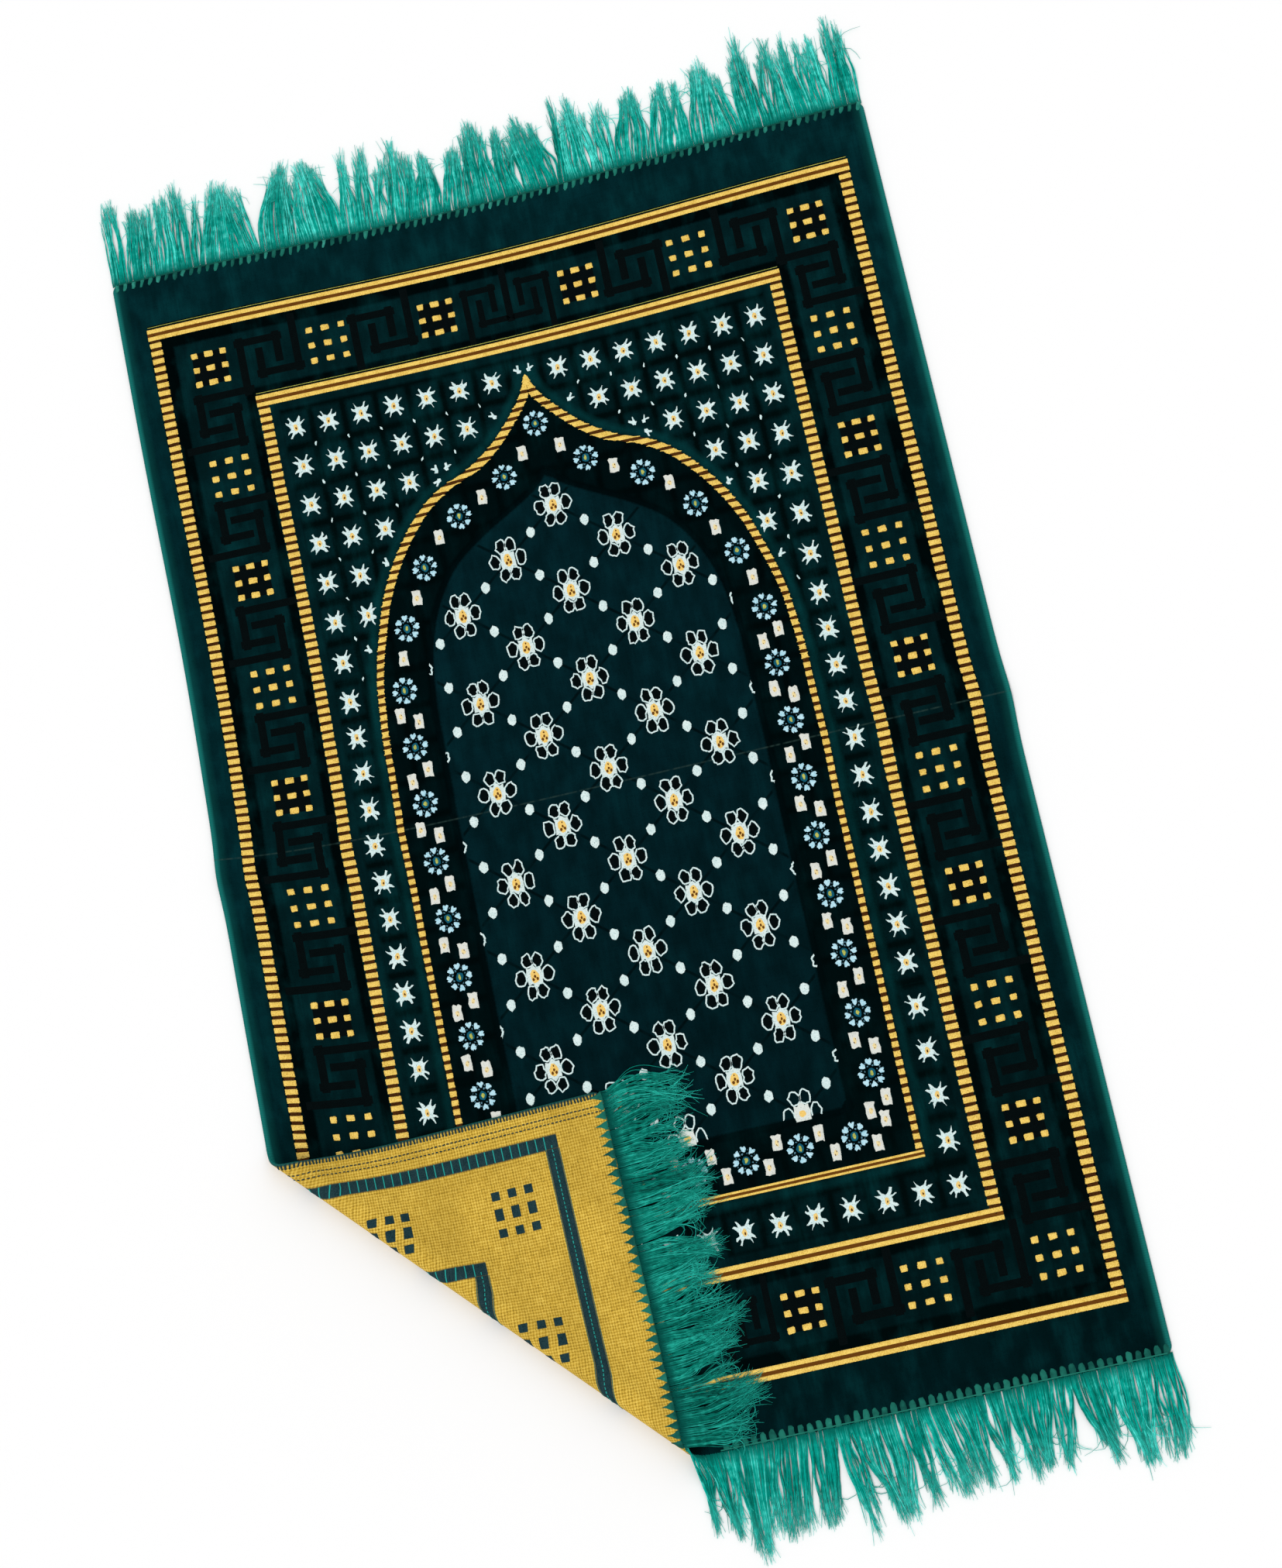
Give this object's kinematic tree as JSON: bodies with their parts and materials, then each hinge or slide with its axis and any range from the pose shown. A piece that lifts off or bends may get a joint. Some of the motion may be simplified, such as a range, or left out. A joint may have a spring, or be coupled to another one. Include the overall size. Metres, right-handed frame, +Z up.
{
  "type": "prayer rug",
  "caption": "Flat velvet prayer rug with a niche pattern, fringed at both ends, one corner folded over to show the woven back.",
  "frame": {"origin": "on the floor under the middle of the rug", "axes": "+Z up, off the pile face; +Y along the rug towards its head end, where the niche points; +X across it to the right"},
  "size_m": [0.6828, 1.2614, 0.0232],
  "materials": {
    "velvet_cloth": "cut velvet pile, dark teal, with a gold woven back",
    "fringe_yarn": "loose emerald threads with a slight lustre"
  },
  "bodies": {
    "root": {"rug_cloth": "velvet_cloth", "fringe_head": "fringe_yarn", "fringe_foot": "fringe_yarn"}
  },
  "joints": []
}
